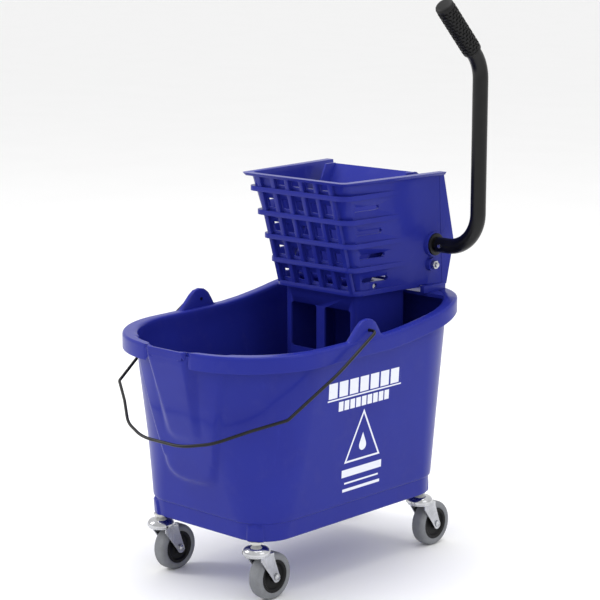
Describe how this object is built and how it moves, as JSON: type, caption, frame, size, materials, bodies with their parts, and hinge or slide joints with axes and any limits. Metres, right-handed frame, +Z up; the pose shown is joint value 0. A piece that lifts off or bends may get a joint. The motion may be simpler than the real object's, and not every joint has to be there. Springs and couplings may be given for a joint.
{
  "type": "mop bucket with wringer",
  "caption": "Wheeled mop bucket with a wire bail, pouring lip and a lift-off side-press wringer worked by a long bent lever.",
  "frame": {"origin": "on the floor, below the middle of the box round the whole object at rest", "axes": "+Z up, -Y towards the pouring lip, +X towards the press lever"},
  "size_m": [0.4341, 0.5756, 0.9288],
  "materials": {
    "bucket_plastic": "glossy royal blue moulded polypropylene",
    "wringer_plastic": "glossy royal blue moulded polypropylene",
    "white_plastic": "white nylon",
    "black_paint": "black powder coat on steel",
    "black_rubber": "soft black moulded rubber",
    "black_plastic": "black nylon",
    "zinc_steel": "bright zinc-plated steel",
    "chrome": "bright plated pressed steel",
    "tyre_grey": "grey non-marking rubber"
  },
  "bodies": {
    "root": {"bucket": "bucket_plastic", "caster_stem_front_right": "zinc_steel", "caster_collar_front_right": "white_plastic", "caster_dome_front_right": "chrome", "caster_balls_front_right": "zinc_steel", "caster_stem_front_left": "zinc_steel", "caster_collar_front_left": "white_plastic", "caster_dome_front_left": "chrome", "caster_balls_front_left": "zinc_steel", "caster_stem_rear_right": "zinc_steel", "caster_collar_rear_right": "white_plastic", "caster_dome_rear_right": "chrome", "caster_balls_rear_right": "zinc_steel", "caster_stem_rear_left": "zinc_steel", "caster_collar_rear_left": "white_plastic", "caster_dome_rear_left": "chrome", "caster_balls_rear_left": "zinc_steel"},
    "bail": {"bail": "black_paint"},
    "wringer": {"wringer_housing": "wringer_plastic", "plate_hinge_rod": "zinc_steel", "shaft_bushing_right": "black_plastic", "shaft_bushing_left": "black_plastic", "anchor_bolts": "zinc_steel", "anchor_nuts": "zinc_steel", "return_spring_right": "zinc_steel", "return_spring_left": "zinc_steel"},
    "lever": {"press_shaft": "zinc_steel", "shaft_end_cap": "black_plastic", "crank_arm_right": "zinc_steel", "crank_arm_left": "zinc_steel", "crank_rollers": "zinc_steel", "crank_pins": "zinc_steel", "lever_tube": "black_paint", "lever_grip": "black_rubber", "lever_pin": "zinc_steel"},
    "plate": {"press_plate": "wringer_plastic"},
    "fork_front_right": {"caster_fork_front_right": "zinc_steel", "caster_axle_front_right": "zinc_steel"},
    "wheel_front_right": {"wheel_hub_front_right": "black_plastic", "wheel_tyre_front_right": "tyre_grey"},
    "fork_front_left": {"caster_fork_front_left": "zinc_steel", "caster_axle_front_left": "zinc_steel"},
    "wheel_front_left": {"wheel_hub_front_left": "black_plastic", "wheel_tyre_front_left": "tyre_grey"},
    "fork_rear_right": {"caster_fork_rear_right": "zinc_steel", "caster_axle_rear_right": "zinc_steel"},
    "wheel_rear_right": {"wheel_hub_rear_right": "black_plastic", "wheel_tyre_rear_right": "tyre_grey"},
    "fork_rear_left": {"caster_fork_rear_left": "zinc_steel", "caster_axle_rear_left": "zinc_steel"},
    "wheel_rear_left": {"wheel_hub_rear_left": "black_plastic", "wheel_tyre_rear_left": "tyre_grey"}
  },
  "joints": [
    {"name": "wringer_lift", "type": "slide", "parent": "root", "child": "wringer", "axis": [0, 0, 1], "range_m": [0, 0.3]},
    {"name": "lever_swing", "type": "hinge", "parent": "wringer", "child": "lever", "pos_m": [-0.00754, 0.22981, 0.52], "axis": [1, 0, 0], "range_deg": [0, 64], "stiffness_Nm_per_rad": 0.6, "springref_deg": -20.05, "deforming": ["return_spring_right", "return_spring_left"]},
    {"name": "plate_press", "type": "hinge", "parent": "wringer", "child": "plate", "pos_m": [-0.00754, 0.11081, 0.462], "axis": [1, 0, 0], "range_deg": [0, 41.6]},
    {"name": "bail_swing", "type": "hinge", "parent": "root", "child": "bail", "pos_m": [-0.00754, -0.01919, 0.423], "axis": [-1, 0, 0], "range_deg": [0, 125]},
    {"name": "swivel_front_right", "type": "hinge", "parent": "root", "child": "fork_front_right", "pos_m": [0.10086, -0.18769, 0.079], "axis": [0, 0, 1], "continuous": true},
    {"name": "spin_front_right", "type": "hinge", "parent": "fork_front_right", "child": "wheel_front_right", "pos_m": [0.10086, -0.15789, 0.0381], "axis": [1, 0, 0], "continuous": true},
    {"name": "swivel_front_left", "type": "hinge", "parent": "root", "child": "fork_front_left", "pos_m": [-0.11594, -0.18769, 0.079], "axis": [0, 0, 1], "continuous": true},
    {"name": "spin_front_left", "type": "hinge", "parent": "fork_front_left", "child": "wheel_front_left", "pos_m": [-0.11594, -0.15789, 0.0381], "axis": [1, 0, 0], "continuous": true},
    {"name": "swivel_rear_right", "type": "hinge", "parent": "root", "child": "fork_rear_right", "pos_m": [0.11066, 0.19941, 0.079], "axis": [0, 0, 1], "continuous": true},
    {"name": "spin_rear_right", "type": "hinge", "parent": "fork_rear_right", "child": "wheel_rear_right", "pos_m": [0.11066, 0.22921, 0.0381], "axis": [1, 0, 0], "continuous": true},
    {"name": "swivel_rear_left", "type": "hinge", "parent": "root", "child": "fork_rear_left", "pos_m": [-0.12574, 0.19941, 0.079], "axis": [0, 0, 1], "continuous": true},
    {"name": "spin_rear_left", "type": "hinge", "parent": "fork_rear_left", "child": "wheel_rear_left", "pos_m": [-0.12574, 0.22921, 0.0381], "axis": [1, 0, 0], "continuous": true}
  ],
  "couplings": [
    {"joint": "plate_press", "follows": "lever_swing", "ratio": 0.65}
  ]
}
